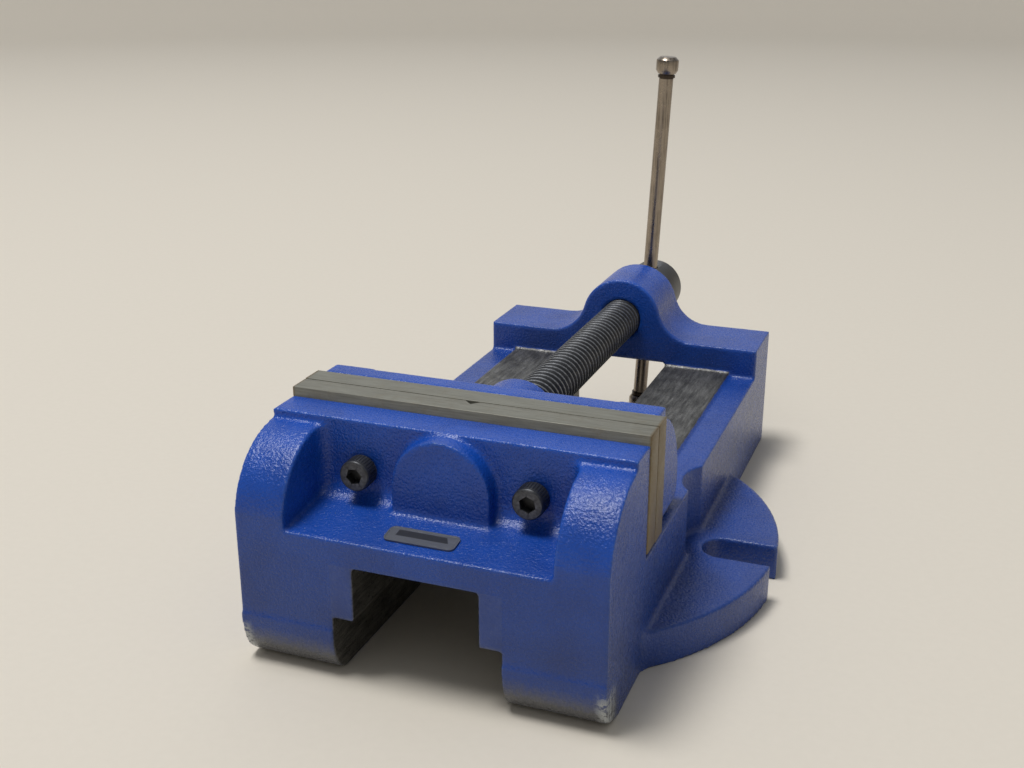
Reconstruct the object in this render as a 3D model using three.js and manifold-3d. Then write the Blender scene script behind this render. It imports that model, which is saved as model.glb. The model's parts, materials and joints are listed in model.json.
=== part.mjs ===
// Drill-press vise with side lugs, closed: fixed jaw at -Y, screw handle at +Y.
// Millimetres, +Z up, base on Z = 0. Sub-part functions measure Y from the front of the base.
import * as THREE from 'three';
import { mergeVertices } from 'three/addons/utils/BufferGeometryUtils.js';
import Module from 'manifold-3d';

const wasm = await Module();
wasm.setup();

// ---- driving dimensions -------------------------------------------------------------------
const JAW_WIDTH = 152.4;                 // hardened plates, end to end
const BODY_HALF = 75.8;                  // half width of the base casting
const BASE_LENGTH = 309.5;               // front face to the back of the rear bridge
const GAP = 0.3;                         // space left between pieces that touch
const RUNNING = 0.08;                    // radial clearance of turning shafts

const WAY = { top: 50.7, inner: 25.9, outer: 61.5, stripTop: 48.9 };
const CHANNEL = { topFront: 49.9, topRear: 51.9, stepHalf: 35.0, stepZ: 27.2 };

const FIXED = {
  ledgeZ: 96.7, ledgeY: 33.2, seatY: 49.5,
  roundR: 34.0, roundZ: 59.0,            // quarter-round of the cheeks
  toeY: 12.0, toeZ: 20.0,                // elliptical round of the front toe
};
const POCKET = { half: 54.5, frontZ: 60.5, backZ: 63.6, floorRun: 26.0, fillet: 7.0, corner: 5.0 };
const BOSS = { r: 20.5, z: 75.0, faceY: 25.5 };

const PLATE = { thick: 10.6, top: 100.2, bottom: WAY.top + GAP, grooveHalf: 3.1, grooveDeep: 2.9 };
const FIXED_PLATE_Y = FIXED.seatY + GAP;
const MOVING_PLATE_Y = FIXED_PLATE_Y + PLATE.thick + GAP;
const PLATE_SCREW = { x: 36.0, z: 76.3, headR: 6.5, headH: 8.0, shankR: 4.0, socketAF: 6.0, socketDeep: 4.0 };
const PLATE_SCREW_BITE = 7.5;            // length of thread in a plate
const WALL = 16.3;                       // jaw wall clamped behind each plate

const JAW = {
  y: MOVING_PLATE_Y + PLATE.thick + GAP, half: 73.2, top: 100.2, topBack: 82.6,
  roundY: 71.0, roundZ: 60.0, roundR: 37.0, heelR: 5.0,
  pocketHalf: 54.5, pocketBack: 81.6, floorZ: 64.0, hubR: 18.0, hubBack: 113.0,
};
const TONGUE = { half: 25.6, y0: 74.0, y1: 105.0, bottom: 27.1 };
const KEEPER = { half: 34.3, y0: 74.0, y1: 105.0, top: 26.8, thick: 9.0, boltX: 14.0 };
const KEEPER_BOLT = { shankR: 4.0, length: 26.0, headAF: 13.0, headH: 5.3, washerR: 7.4, washerT: 2.0 };

const SCREW = {
  z: 74.5, r: 10.75, threadY0: JAW.hubBack + GAP, threadY1: 307.0, neckR: 9.4,
  headR: 16.0, headY0: 312.0, headY1: 345.5,
  journalR: 8.0, noseY: 74.0, grooveR: 7.0, grooveY0: 76.0, grooveY1: 77.8,
};
const RING = { y: 76.15, thick: 1.5, outer: 10.6, inner: 7.15, gapDeg: 70 };
const WASHER = { y: 77.95, thick: 1.3, outer: 12.4, inner: 8.25 };
const COUNTERBORE = { r: 13.0, depthTo: 79.5 };

const BRIDGE = { y0: 270.6, shoulderZ: 64.6, archR: 22.0, filletR: 20.0, cornerR: 3.0 };
const LUG = {
  r: 113.0, y: 133.0, top: 16.8, filletR: 10.0,
  slotHalf: 9.3, slotX: 89.8, recessR: 20.5, recessX: 91.0,
};

const HANDLE = {
  y: 329.0, leanDeg: 2.6, barR: 4.0, holeR: 4.5, low: -74.0, high: 135.8,
  knobR: 6.2, knobH: 9.2, neckR: 4.9, neckH: 2.6, boreR: 4.15,
};
const LABEL = { w: 29.0, d: 9.6, t: 0.6, r: 2.4, x: -1.0, y: 11.5 };

const LENGTH = SCREW.headY1;             // front face to the back of the screw head
const ROUND = 48;

// ---- small geometry helpers ---------------------------------------------------------------
function arc(cx, cy, r, fromDeg, toDeg, steps, ry = r) {
  const points = [];
  for (let i = 0; i <= steps; i += 1) {
    const a = THREE.MathUtils.degToRad(fromDeg + ((toDeg - fromDeg) * i) / steps);
    points.push([cx + r * Math.cos(a), cy + ry * Math.sin(a)]);
  }
  return points;
}

function extrude(points, depth, holes = []) {
  const shape = new THREE.Shape(points.map(([a, b]) => new THREE.Vector2(a, b)));
  for (const hole of holes) shape.holes.push(new THREE.Path(hole.map(([a, b]) => new THREE.Vector2(a, b))));
  return new THREE.ExtrudeGeometry(shape, { depth, bevelEnabled: false, steps: 1 });
}

function alongX(pointsYZ, x0, x1) {
  const geometry = extrude(pointsYZ, x1 - x0);
  geometry.applyMatrix4(new THREE.Matrix4().set(0, 0, 1, x0, 1, 0, 0, 0, 0, 1, 0, 0, 0, 0, 0, 1));
  return geometry;
}

function alongY(pointsXZ, y0, y1, holes = []) {
  return extrude(pointsXZ, y1 - y0, holes).rotateX(Math.PI / 2).translate(0, y1, 0);
}

function alongZ(pointsXY, z0, z1, holes = []) {
  return extrude(pointsXY, z1 - z0, holes).translate(0, 0, z0);
}

function block(x0, x1, y0, y1, z0, z1) {
  const geometry = new THREE.BoxGeometry(x1 - x0, y1 - y0, z1 - z0);
  return geometry.translate((x0 + x1) / 2, (y0 + y1) / 2, (z0 + z1) / 2);
}

function rodY(r, x, z, y0, y1, segments = ROUND) {
  return new THREE.CylinderGeometry(r, r, y1 - y0, segments).translate(x, (y0 + y1) / 2, z);
}

function rodZ(r, x, y, z0, z1, segments = ROUND) {
  return new THREE.CylinderGeometry(r, r, z1 - z0, segments).rotateX(Math.PI / 2).translate(x, y, (z0 + z1) / 2);
}

function turned(profile, segments = ROUND) {
  return new THREE.LatheGeometry(profile.map(([r, y]) => new THREE.Vector2(r, y)), segments);
}

function hexagon(acrossFlats, cx, cy) {
  return arc(cx, cy, acrossFlats / Math.sqrt(3), 30, 330, 5);
}

// ---- boolean helpers ----------------------------------------------------------------------
function solid(geometry) {
  const bare = geometry.clone();
  bare.deleteAttribute('normal');
  bare.deleteAttribute('uv');
  const merged = mergeVertices(bare, 1e-4);
  return new wasm.Manifold(new wasm.Mesh({
    numProp: 3,
    vertProperties: new Float32Array(merged.attributes.position.array),
    triVerts: new Uint32Array(merged.index.array),
  }));
}

function cut(body, tools) {
  return tools.reduce((result, tool) => result.subtract(solid(tool)), body);
}

function join(body, additions) {
  return additions.reduce((result, addition) => result.add(solid(addition)), body);
}

function geometryOf(body) {
  const mesh = body.getMesh();
  const geometry = new THREE.BufferGeometry();
  geometry.setAttribute('position', new THREE.BufferAttribute(new Float32Array(mesh.vertProperties), 3));
  geometry.setIndex(new THREE.BufferAttribute(new Uint32Array(mesh.triVerts), 1));
  const flat = geometry.toNonIndexed();
  flat.computeVertexNormals();
  return flat;
}

function piece(name, geometry, colour, roughness, metalness) {
  const mesh = new THREE.Mesh(geometry, new THREE.MeshStandardMaterial({ color: colour, roughness, metalness }));
  mesh.name = name;
  return mesh;
}

const enamel = (name, geometry) => piece(name, geometry, 0x1d3f9e, 0.35, 0.0);
const plateSteel = (name, geometry) => piece(name, geometry, 0x8f8c80, 0.45, 0.9);
const blackSteel = (name, geometry) => piece(name, geometry, 0x2b2c2e, 0.5, 0.8);
const zincSteel = (name, geometry) => piece(name, geometry, 0xa9a294, 0.3, 1.0);

// ---- base casting -------------------------------------------------------------------------
function baseProfile() {
  const f = FIXED;
  const startDeg = 180 - THREE.MathUtils.radToDeg(Math.acos((f.roundR - f.ledgeY) / f.roundR));
  return [
    [BASE_LENGTH, 0], [BASE_LENGTH, BRIDGE.shoulderZ], [BRIDGE.y0, BRIDGE.shoulderZ], [BRIDGE.y0, WAY.top],
    [f.seatY, WAY.top], [f.seatY, f.ledgeZ], [f.ledgeY, f.ledgeZ],
    ...arc(f.roundR, f.roundZ, f.roundR, startDeg, 180, 16),
    ...arc(f.toeY, f.toeZ, f.toeY, 180, 270, 8, f.toeZ),
  ];
}

function bridgeOutline() {
  const b = BRIDGE;
  const cz = b.shoulderZ + b.filletR;
  const cx = Math.sqrt((b.archR + b.filletR) ** 2 - (cz - SCREW.z) ** 2);
  const meetDeg = THREE.MathUtils.radToDeg(Math.atan2(cz - SCREW.z, cx));
  const right = [
    [BODY_HALF, 40],
    ...arc(BODY_HALF - b.cornerR, b.shoulderZ - b.cornerR, b.cornerR, 0, 90, 3),
    ...arc(cx, cz, b.filletR, 270, 180 + meetDeg, 8),
  ];
  const left = right.map(([x, z]) => [-x, z]).reverse();
  return [...right, ...arc(0, SCREW.z, b.archR, meetDeg, 180 - meetDeg, 24).slice(1, -1), ...left];
}

function lugOutline(side) {
  const reach = BODY_HALF + LUG.filletR;
  const run = Math.sqrt((LUG.r + LUG.filletR) ** 2 - reach ** 2);
  const meetDeg = THREE.MathUtils.radToDeg(Math.atan2(run, reach));
  const points = [
    [BODY_HALF - 5, LUG.y - run],
    ...arc(reach, LUG.y - run, LUG.filletR, 180, 180 - meetDeg, 5),
    ...arc(0, LUG.y, LUG.r, -meetDeg, meetDeg, 30).slice(1, -1),
    ...arc(reach, LUG.y + run, LUG.filletR, 180 + meetDeg, 180, 5),
    [BODY_HALF - 5, LUG.y + run],
  ];
  return side > 0 ? points : points.map(([x, y]) => [-x, y]).reverse();
}

function slotOutline(side) {
  const points = [
    [LUG.r + 10, LUG.y - LUG.slotHalf], [LUG.r + 10, LUG.y + LUG.slotHalf],
    ...arc(LUG.slotX, LUG.y, LUG.slotHalf, 90, 270, 14),
  ];
  return side > 0 ? points : points.map(([x, y]) => [-x, y]).reverse();
}

function pocketTool() {
  const p = POCKET;
  const wallY = FIXED.ledgeY;
  const slope = Math.atan2(p.backZ - p.frontZ, p.floorRun);
  const slopeDeg = THREE.MathUtils.radToDeg(slope);
  const floorZ = (y) => p.frontZ + y * Math.tan(slope);
  const filletY = wallY - p.fillet;
  const filletZ = floorZ(filletY) + p.fillet / Math.cos(slope);
  const side = [
    [-5, floorZ(-5)],
    ...arc(filletY, filletZ, p.fillet, 270 + slopeDeg, 360, 7),
    [wallY, 120], [-5, 120],
  ];
  const plan = [
    [-p.half, -5], [p.half, -5],
    ...arc(p.half - p.corner, wallY - p.corner, p.corner, 0, 90, 5),
    ...arc(p.corner - p.half, wallY - p.corner, p.corner, 90, 180, 5),
  ];
  return solid(alongX(side, -p.half, p.half)).intersect(solid(alongZ(plan, 40, 130)));
}

function bossGeometry() {
  const outline = [[-BOSS.r, 58], [BOSS.r, 58], ...arc(0, BOSS.z, BOSS.r, 0, 180, 24)];
  return alongY(outline, BOSS.faceY, FIXED.ledgeY + 2);
}

function baseCasting() {
  let body = solid(alongX(baseProfile(), -BODY_HALF, BODY_HALF));
  body = join(body, [alongY(bridgeOutline(), BRIDGE.y0, BASE_LENGTH)]);
  body = join(body, [-1, 1].map((side) => alongZ(lugOutline(side), 0, LUG.top)));
  body = body.subtract(pocketTool());
  body = join(body, [bossGeometry()]);
  const tools = [
    block(-WAY.inner, WAY.inner, -5, BASE_LENGTH + 5, -5, CHANNEL.topFront),
    block(-WAY.inner, WAY.inner, FIXED.seatY, BASE_LENGTH + 5, 40, CHANNEL.topRear),
    block(-CHANNEL.stepHalf, CHANNEL.stepHalf, -5, BASE_LENGTH + 5, -5, CHANNEL.stepZ),
    rodY(SCREW.r + RUNNING, 0, SCREW.z, BRIDGE.y0 - 5, BASE_LENGTH + 5),
    block(WAY.outer, BODY_HALF + 5, FIXED.seatY, BRIDGE.y0, WAY.stripTop, WAY.top + 5),
    block(-BODY_HALF - 5, -WAY.outer, FIXED.seatY, BRIDGE.y0, WAY.stripTop, WAY.top + 5),
  ];
  for (const side of [-1, 1]) {
    tools.push(rodY(PLATE_SCREW.shankR + GAP, side * PLATE_SCREW.x, PLATE_SCREW.z, 20, 60, 24));
    tools.push(alongZ(slotOutline(side), -5, LUG.top + 5));
    tools.push(rodZ(LUG.recessR, side * LUG.recessX, LUG.y, LUG.top, 70));
  }
  return enamel('base_casting', geometryOf(cut(body, tools)));
}

// ---- jaw plates and their screws ----------------------------------------------------------
function screwHoles(y0, y1) {
  return [-1, 1].map((side) => rodY(PLATE_SCREW.shankR + GAP, side * PLATE_SCREW.x, PLATE_SCREW.z, y0, y1, 24));
}

function jawPlate(name, y0, backToFront) {
  const half = JAW_WIDTH / 2;
  const y1 = y0 + PLATE.thick;
  const deep = PLATE_SCREW_BITE + 1;
  let body = solid(block(-half, half, y0, y1, PLATE.bottom, PLATE.top));
  body = cut(body, backToFront ? screwHoles(y0 - 5, y0 + deep) : screwHoles(y1 - deep, y1 + 5));
  if (backToFront) {
    const groove = [[-PLATE.grooveHalf, y1], [0, y1 - PLATE.grooveDeep], [PLATE.grooveHalf, y1], [0, y1 + 5]];
    body = cut(body, [alongZ(groove, PLATE.bottom - 5, PLATE.top + 5)]);
  }
  return plateSteel(name, geometryOf(body));
}

function plateScrew(name, side, seatY, direction) {
  const s = PLATE_SCREW;
  const shank = WALL + PLATE_SCREW_BITE;
  const chamfer = 0.8;
  const profile = [
    [0, shank], [s.shankR - chamfer, shank], [s.shankR, shank - chamfer], [s.shankR, 0], [s.headR, 0],
    [s.headR, -s.headH + chamfer], [s.headR - chamfer, -s.headH], [0, -s.headH],
  ].reverse();
  let body = solid(turned(profile, 32));
  body = cut(body, [alongY(hexagon(s.socketAF, 0, 0), -s.headH - 5, -s.headH + s.socketDeep)]);
  const screw = blackSteel(name, geometryOf(body));
  screw.position.set(side * s.x, seatY, s.z);
  if (direction < 0) screw.rotation.z = Math.PI;
  return screw;
}

// ---- moving jaw and what it carries -------------------------------------------------------
function movingJaw() {
  const j = JAW;
  const topDeg = THREE.MathUtils.radToDeg(Math.acos((j.topBack - j.roundY) / j.roundR));
  const bottom = WAY.top + GAP;
  const heelZ = bottom + j.heelR;
  const heelDeg = THREE.MathUtils.radToDeg(Math.asin((heelZ - j.roundZ) / j.roundR));
  const heelY = j.roundY + j.roundR * Math.cos(THREE.MathUtils.degToRad(heelDeg));
  const profile = [
    [j.y, bottom], ...arc(heelY - j.heelR, heelZ, j.heelR, 270, 355, 4),
    ...arc(j.roundY, j.roundZ, j.roundR, heelDeg, topDeg, 16), [j.topBack, j.top], [j.y, j.top],
  ];
  let body = solid(alongX(profile, -j.half, j.half));
  const wallY = j.y + WALL;
  const f = POCKET.fillet;
  const pocket = [
    [wallY, 130], [wallY, j.floorZ + f], ...arc(wallY + f, j.floorZ + f, f, 180, 270, 6).slice(1),
    [130, j.floorZ - 2], [130, 130],
  ];
  const under = [[j.pocketBack, 130], [j.pocketBack, j.top - 6], [wallY, j.top - 6], [wallY, 130]];
  body = cut(body, [alongX(pocket, -j.pocketHalf, j.pocketHalf)]);
  body = cut(body, [alongX(under, -j.pocketHalf, j.pocketHalf)]);
  body = join(body, [
    rodY(j.hubR, 0, SCREW.z, j.y + 4, j.hubBack),
    block(-TONGUE.half, TONGUE.half, TONGUE.y0, TONGUE.y1, TONGUE.bottom, bottom + 3),
  ]);
  const boltTop = KEEPER.top + KEEPER_BOLT.length - KEEPER.thick - KEEPER_BOLT.washerT + 1;
  body = cut(body, [
    rodY(SCREW.journalR + RUNNING, 0, SCREW.z, j.y - 5, j.hubBack + 5),
    rodY(COUNTERBORE.r, 0, SCREW.z, j.y - 5, COUNTERBORE.depthTo),
    ...screwHoles(j.y - 5, wallY + 5),
    ...[-1, 1].map((side) => rodZ(KEEPER_BOLT.shankR + GAP, side * KEEPER.boltX,
      (KEEPER.y0 + KEEPER.y1) / 2, TONGUE.bottom - 5, boltTop, 24)),
  ]);
  return enamel('moving_jaw', geometryOf(body));
}

function keeperPlate() {
  const y = (KEEPER.y0 + KEEPER.y1) / 2;
  const bottom = KEEPER.top - KEEPER.thick;
  let body = solid(block(-KEEPER.half, KEEPER.half, KEEPER.y0, KEEPER.y1, bottom, KEEPER.top));
  body = cut(body, [-1, 1].map((side) => rodZ(KEEPER_BOLT.shankR + GAP, side * KEEPER.boltX, y,
    bottom - 5, KEEPER.top + 5, 24)));
  return blackSteel('keeper_plate', geometryOf(body));
}

function keeperBolt(name, side) {
  const b = KEEPER_BOLT;
  const headTop = KEEPER.top - KEEPER.thick - b.washerT - 2 * GAP;
  let body = solid(alongZ(hexagon(b.headAF, 0, 0), -b.headH, 0));
  body = join(body, [rodZ(b.shankR, 0, 0, -1, b.length, 24)]);
  const bolt = blackSteel(name, geometryOf(body));
  bolt.position.set(side * KEEPER.boltX, (KEEPER.y0 + KEEPER.y1) / 2, headTop);
  return bolt;
}

function keeperWasher(name, side) {
  const b = KEEPER_BOLT;
  const bore = b.shankR + GAP;
  const ring = [...arc(0, 0, b.washerR, 8, 352, 28), ...arc(0, 0, bore, 352, 8, 28)];
  const washer = blackSteel(name, geometryOf(solid(alongZ(ring, 0, b.washerT))));
  washer.position.set(side * KEEPER.boltX, (KEEPER.y0 + KEEPER.y1) / 2, KEEPER.top - KEEPER.thick - b.washerT - GAP);
  return washer;
}

// ---- lead screw ---------------------------------------------------------------------------
function leadScrew() {
  const s = SCREW;
  const c = 1.5;
  const profile = [
    [0, s.noseY], [s.journalR - 1, s.noseY], [s.journalR, s.noseY + 1], [s.journalR, s.grooveY0],
    [s.grooveR, s.grooveY0], [s.grooveR, s.grooveY1], [s.journalR, s.grooveY1], [s.journalR, s.threadY0],
    [s.r - c, s.threadY0], [s.r, s.threadY0 + c], [s.r, s.threadY1], [s.neckR, s.threadY1 + c],
    [s.neckR, s.headY0], [s.headR - c, s.headY0], [s.headR, s.headY0 + c], [s.headR, s.headY1 - c],
    [s.headR - c, s.headY1], [0, s.headY1],
  ];
  const body = solid(turned(profile).translate(0, 0, s.z));
  const hole = rodZ(HANDLE.holeR, 0, 0, -40, 40, 32);
  hole.rotateY(THREE.MathUtils.degToRad(HANDLE.leanDeg)).translate(0, HANDLE.y, s.z);
  return blackSteel('lead_screw', geometryOf(cut(body, [hole])));
}

function retainingRing() {
  const r = RING;
  const half = r.gapDeg / 2;
  const ears = (sign) => rodY(1.9, (r.inner + 1.9) * Math.sin(THREE.MathUtils.degToRad(half)) * sign,
    -(r.inner + 1.9) * Math.cos(THREE.MathUtils.degToRad(half)), 0, r.thick, 16);
  const outline = [...arc(0, 0, r.outer, 270 + half, 630 - half, 36), ...arc(0, 0, r.inner, 630 - half, 270 + half, 36)];
  const body = join(solid(alongY(outline, 0, r.thick)), [ears(-1), ears(1)]);
  const ring = blackSteel('screw_retaining_ring', geometryOf(body));
  ring.position.set(0, r.y, SCREW.z);
  return ring;
}

function thrustWasher() {
  const w = WASHER;
  const washer = plateSteel('screw_thrust_washer', geometryOf(solid(alongY(
    arc(0, 0, w.outer, 0, 350, 35), 0, w.thick, [arc(0, 0, w.inner, 0, 350, 35).reverse()]))));
  washer.position.set(0, w.y, SCREW.z);
  return washer;
}

// ---- handle -------------------------------------------------------------------------------
function knob(name, top) {
  const h = HANDLE;
  const c = 1.0;
  const profile = [
    [h.boreR, 0], [h.neckR, 0], [h.neckR, h.neckH], [h.knobR - c, h.neckH], [h.knobR, h.neckH + c],
    [h.knobR, h.neckH + h.knobH - c], [h.knobR - c, h.neckH + h.knobH], [0, h.neckH + h.knobH],
    [0, h.neckH + h.knobH - 2], [h.boreR, h.neckH + h.knobH - 2], [h.boreR, 0],
  ];
  const geometry = geometryOf(solid(turned(profile, 32).rotateX(Math.PI / 2)));
  const mesh = zincSteel(name, geometry);
  const reach = h.neckH + h.knobH;
  mesh.position.z = top ? h.high - reach : h.low + reach;
  if (!top) mesh.rotation.x = Math.PI;
  return mesh;
}

function handle() {
  const h = HANDLE;
  const group = new THREE.Group();
  group.name = 'handle';
  group.position.set(0, h.y, SCREW.z);
  group.rotation.y = THREE.MathUtils.degToRad(h.leanDeg);
  const inset = 2 + GAP;
  group.add(zincSteel('handle_bar', rodZ(h.barR, 0, 0, h.low + inset, h.high - inset, 32)));
  group.add(knob('handle_knob_upper', true));
  group.add(knob('handle_knob_lower', false));
  return group;
}

// ---- label --------------------------------------------------------------------------------
function labelPlate() {
  const l = LABEL;
  const hx = l.w / 2 - l.r;
  const hy = l.d / 2 - l.r;
  const outline = [
    ...arc(hx, -hy, l.r, -90, 0, 4), ...arc(hx, hy, l.r, 0, 90, 4),
    ...arc(-hx, hy, l.r, 90, 180, 4), ...arc(-hx, -hy, l.r, 180, 270, 4),
  ];
  const slope = Math.atan2(POCKET.backZ - POCKET.frontZ, POCKET.floorRun);
  const label = piece('label_plate', alongZ(outline, 0, l.t), 0x8a8b88, 0.4, 0.7);
  label.position.set(l.x, l.y, POCKET.frontZ + l.y * Math.tan(slope) + 0.1);
  label.rotation.x = slope;
  return label;
}

// ---- assembly -----------------------------------------------------------------------------
function assembly() {
  const vise = new THREE.Group();
  vise.name = 'drill_press_vise';
  vise.add(baseCasting());
  vise.add(jawPlate('fixed_jaw_plate', FIXED_PLATE_Y, true));
  vise.add(jawPlate('moving_jaw_plate', MOVING_PLATE_Y, false));
  vise.add(movingJaw());
  for (const [tag, side] of [['left', -1], ['right', 1]]) {
    vise.add(plateScrew(`fixed_plate_screw_${tag}`, side, FIXED.ledgeY - GAP, 1));
    vise.add(plateScrew(`moving_plate_screw_${tag}`, side, JAW.y + WALL + GAP, -1));
    vise.add(keeperBolt(`keeper_bolt_${tag}`, side));
    vise.add(keeperWasher(`keeper_washer_${tag}`, side));
  }
  vise.add(keeperPlate());
  vise.add(leadScrew());
  vise.add(retainingRing());
  vise.add(thrustWasher());
  vise.add(handle());
  vise.add(labelPlate());
  vise.position.y = -LENGTH / 2;
  return vise;
}

export default assembly();
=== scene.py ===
"""Drill press vise: cast and enamelled body, ground jaw plates, black lead screw and plated T-bar."""
import json
import math

import bpy
from mathutils import Matrix, Vector


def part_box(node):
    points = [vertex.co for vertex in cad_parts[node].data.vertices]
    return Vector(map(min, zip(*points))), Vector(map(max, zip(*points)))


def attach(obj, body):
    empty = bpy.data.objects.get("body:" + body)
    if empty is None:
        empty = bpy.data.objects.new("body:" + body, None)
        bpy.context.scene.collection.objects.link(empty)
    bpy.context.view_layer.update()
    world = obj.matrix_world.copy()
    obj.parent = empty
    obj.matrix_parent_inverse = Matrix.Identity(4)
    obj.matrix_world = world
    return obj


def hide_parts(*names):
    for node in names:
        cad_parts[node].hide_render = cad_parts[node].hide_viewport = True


bl_info = {
    "name": "Drill press vise",
    "version": (1, 0, 0),
    "blender": (4, 5, 0),
    "location": "View3D > Sidebar > Vise",
    "description": "Finishes a drill press vise: castings, plates, screws, lead screw, T-bar and studio",
    "category": "Add Mesh",
}

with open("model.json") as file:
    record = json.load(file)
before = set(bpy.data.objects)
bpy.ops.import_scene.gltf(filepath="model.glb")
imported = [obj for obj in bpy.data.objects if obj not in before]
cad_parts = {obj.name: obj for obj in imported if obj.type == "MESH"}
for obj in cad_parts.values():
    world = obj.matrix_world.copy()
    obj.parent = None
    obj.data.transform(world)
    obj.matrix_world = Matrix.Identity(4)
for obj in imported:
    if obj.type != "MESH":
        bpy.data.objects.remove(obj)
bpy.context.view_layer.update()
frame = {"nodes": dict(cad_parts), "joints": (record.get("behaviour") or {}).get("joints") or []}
MM = 0.001
NEAR = 0.01 * MM                    # points closer than this are one point
CASTING_TRIANGLES = 185000          # what each casting's fine skin is brought down to
CAP_HEAD_HEIGHT = 8.0 * MM          # of a cap screw, from its seat to its face
PLATE_STEEL = "Ground carbon steel, light oxide"


def linear(code):
    """An sRGB hex colour as linear red, green, blue and alpha 1."""
    channels = [int(code[i:i + 2], 16) / 255 for i in (1, 3, 5)]
    return tuple(c / 12.92 if c <= 0.04045 else ((c + 0.055) / 1.055) ** 2.4 for c in channels) + (1.0,)


# ---- sizes and colours --------------------------------------------------------------------
def length(name, text, millimetres):
    return bpy.props.FloatProperty(
        name=name, description=text, default=millimetres * MM, min=0.0, unit="LENGTH", precision=5)


def colour(name, text, code):
    return bpy.props.FloatVectorProperty(
        name=name, description=text, default=linear(code), size=4, min=0.0, max=1.0, subtype="COLOR")


class ViseSizes(bpy.types.PropertyGroup):
    casting_voxel: length("Casting voxel", "Cell of the mesh that the castings are cast in", 0.85)
    casting_swell: length("Casting swell", "Height of the slow waviness left by the sand mould", 0.14)
    plate_break: length("Plate edge break", "Broken edge of the ground jaw plates", 0.5)
    thread_pitch: length("Thread pitch", "Lead of one turn of the lead screw, six to the inch", 4.2333)
    thread_depth: length("Thread depth", "Depth of the lead screw's thread", 1.75)
    screw_radius: length("Screw radius", "Outer radius of the lead screw", 10.7)
    head_edge: length("Head edge", "Rounded edge of the screw's cross-drilled head", 1.4)
    knurl_depth: length("Knurl depth", "Depth of the knurl on the cap screws", 0.16)
    knurl_teeth: bpy.props.IntProperty(
        name="Knurl teeth", description="Grooves round the head of a cap screw", default=34, min=12, max=60)
    label_rim: length("Label rim", "Width of the plain rim on the label plate", 0.55)


class ViseColours(bpy.types.PropertyGroup):
    enamel: colour("Enamel", "Royal blue enamel where it is thick", "#124cb0")
    enamel_thin: colour("Thin enamel", "Darker blue where the enamel is thin or dusty", "#11429c")
    # the edge colour is partly enamel pulled thin over an edge and partly a painted highlight
    enamel_edge_and_highlight: colour("Edge enamel", "Paler blue where the enamel is pulled thin over an edge", "#3a68bd")
    primer: colour("Chips", "Bare and primed metal in the chips", "#a8adb0")
    # the feet's fronts go over to this grey low down
    grey_foot: colour("Grey foot", "Grey low on the feet's fronts", "#5b5c60")
    # the enamel is mixed towards this colour more and more towards the table
    low_darkening: colour("Low darkening", "Darker blue-grey towards the table, low on the base", "#2c2e38")
    iron: colour("Machined iron", "Machined cast iron of the ways", "#9c9b97")
    iron_dark: colour("Iron stain", "Oil stain on the machined iron", "#4c4b49")
    steel: colour("Ground steel", "Ground steel of the jaw plates", "#929186")
    steel_mark: colour("Grinding mark", "Darker grinding marks on the jaw plates", "#6c6a60")
    steel_rust: colour("Brown oxide", "Light brown oxide on the plates", "#75664c")
    black: colour("Black oxide", "Black oxide on the screws", "#353639")
    black_dust: colour("Dusty black oxide", "Dust on black oxide", "#58595a")
    # on crests and corners this grey is partly worn steel and partly a painted highlight
    black_worn_and_highlight: colour("Worn black oxide and highlight", "Steel showing through black oxide, and a painted highlight on crests", "#9a9ca0")
    zinc: colour("Zinc plate", "Zinc plate of the T-bar", "#9c9184")
    # dark streak colour, also used as painted shade at the knobs' necks
    zinc_streak_and_neck_shade: colour("Plating streak", "Dark streaks in the plating", "#463e37")
    label: colour("Label", "Satin label plate", "#84868a")
    label_dull: colour("Label grain", "Brushed grain of the label plate", "#6a6c70")
    label_band: colour("Label band", "Dark plain band on the label plate", "#26272b")
    floor: colour("Floor", "Pale studio floor", "#dcd4c6")
    floor_fibre: colour("Floor fibre", "Fibre of the paper floor", "#e0d8ca")


def sizes():
    return bpy.context.scene.vise_sizes


def colours():
    return bpy.context.scene.vise_colours


# ---- selecting and shaping ----------------------------------------------------------------
def select_only(*objects):
    """Leaves just these objects selected, the first one active."""
    if bpy.context.object and bpy.context.object.mode != "OBJECT":
        bpy.ops.object.mode_set(mode="OBJECT")
    bpy.ops.object.select_all(action="DESELECT")
    for piece in objects:
        piece.select_set(True)
    bpy.context.view_layer.objects.active = objects[0]


def faces(piece, test):
    """Selects the faces whose centre and normal pass the test, and goes to edit mode."""
    bpy.ops.object.mode_set(mode="EDIT")
    bpy.ops.mesh.select_mode(type="FACE")
    bpy.ops.mesh.select_all(action="DESELECT")
    bpy.ops.object.mode_set(mode="OBJECT")
    count = 0
    for face in piece.data.polygons:
        face.select = bool(test(face.center, face.normal))
        count += face.select
    if not count:
        raise RuntimeError(f"no face of {piece.name} was picked")
    bpy.ops.object.mode_set(mode="EDIT")


def add_modifier(piece, kind, **settings):
    """Adds a modifier with its settings."""
    modifier = piece.modifiers.new(kind.title(), kind)
    for key, value in settings.items():
        setattr(modifier, key, value)
    return modifier


def use_modifier(piece, kind, **settings):
    """Adds a modifier with its settings and applies it."""
    select_only(piece)
    modifier = add_modifier(piece, kind, **settings)
    bpy.ops.object.modifier_apply(modifier=modifier.name)


def bake_place(piece):
    """Puts the object's place, turn and scale into its mesh."""
    select_only(piece)
    bpy.ops.object.transform_apply(location=True, rotation=True, scale=True)


def outward(piece):
    """Merges doubles and turns every face outwards."""
    select_only(piece)
    bpy.ops.object.mode_set(mode="EDIT")
    bpy.ops.mesh.select_all(action="SELECT")
    bpy.ops.mesh.remove_doubles(threshold=NEAR)
    bpy.ops.mesh.normals_make_consistent(inside=False)
    bpy.ops.object.mode_set(mode="OBJECT")


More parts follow.
